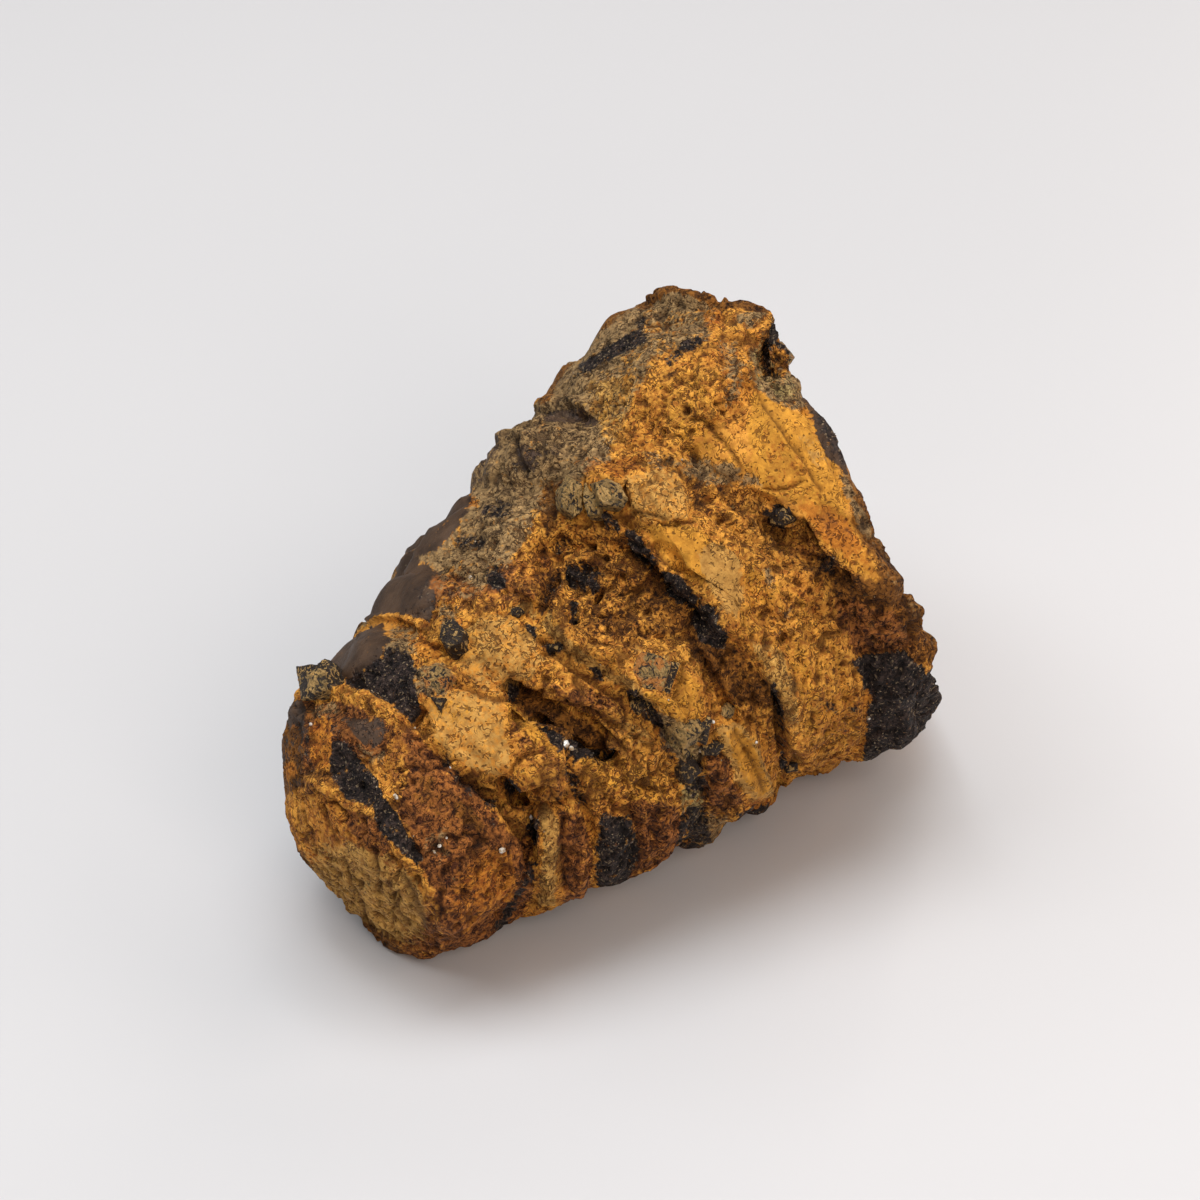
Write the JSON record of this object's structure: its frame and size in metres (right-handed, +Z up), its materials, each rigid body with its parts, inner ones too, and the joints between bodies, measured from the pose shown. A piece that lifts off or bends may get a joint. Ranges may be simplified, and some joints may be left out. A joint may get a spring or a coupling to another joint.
{
  "type": "fossil nautiloid",
  "caption": "Iron-rich internal mould of a short stretch of a straight, quickly widening chambered shell, broken at both ends and lying on its side.",
  "frame": {"origin": "on the surface that it lies on, under the middle of its box", "axes": "+Z up, +X along the shell towards its wide end, -Y towards the weathered side"},
  "size_m": [0.0534, 0.034, 0.034],
  "materials": {
    "ironstone": "matt, pitted ochre ironstone with a smoother, slightly glossy dark brown patina in patches"
  },
  "bodies": {
    "root": {"nautiloid": "ironstone"}
  },
  "joints": []
}
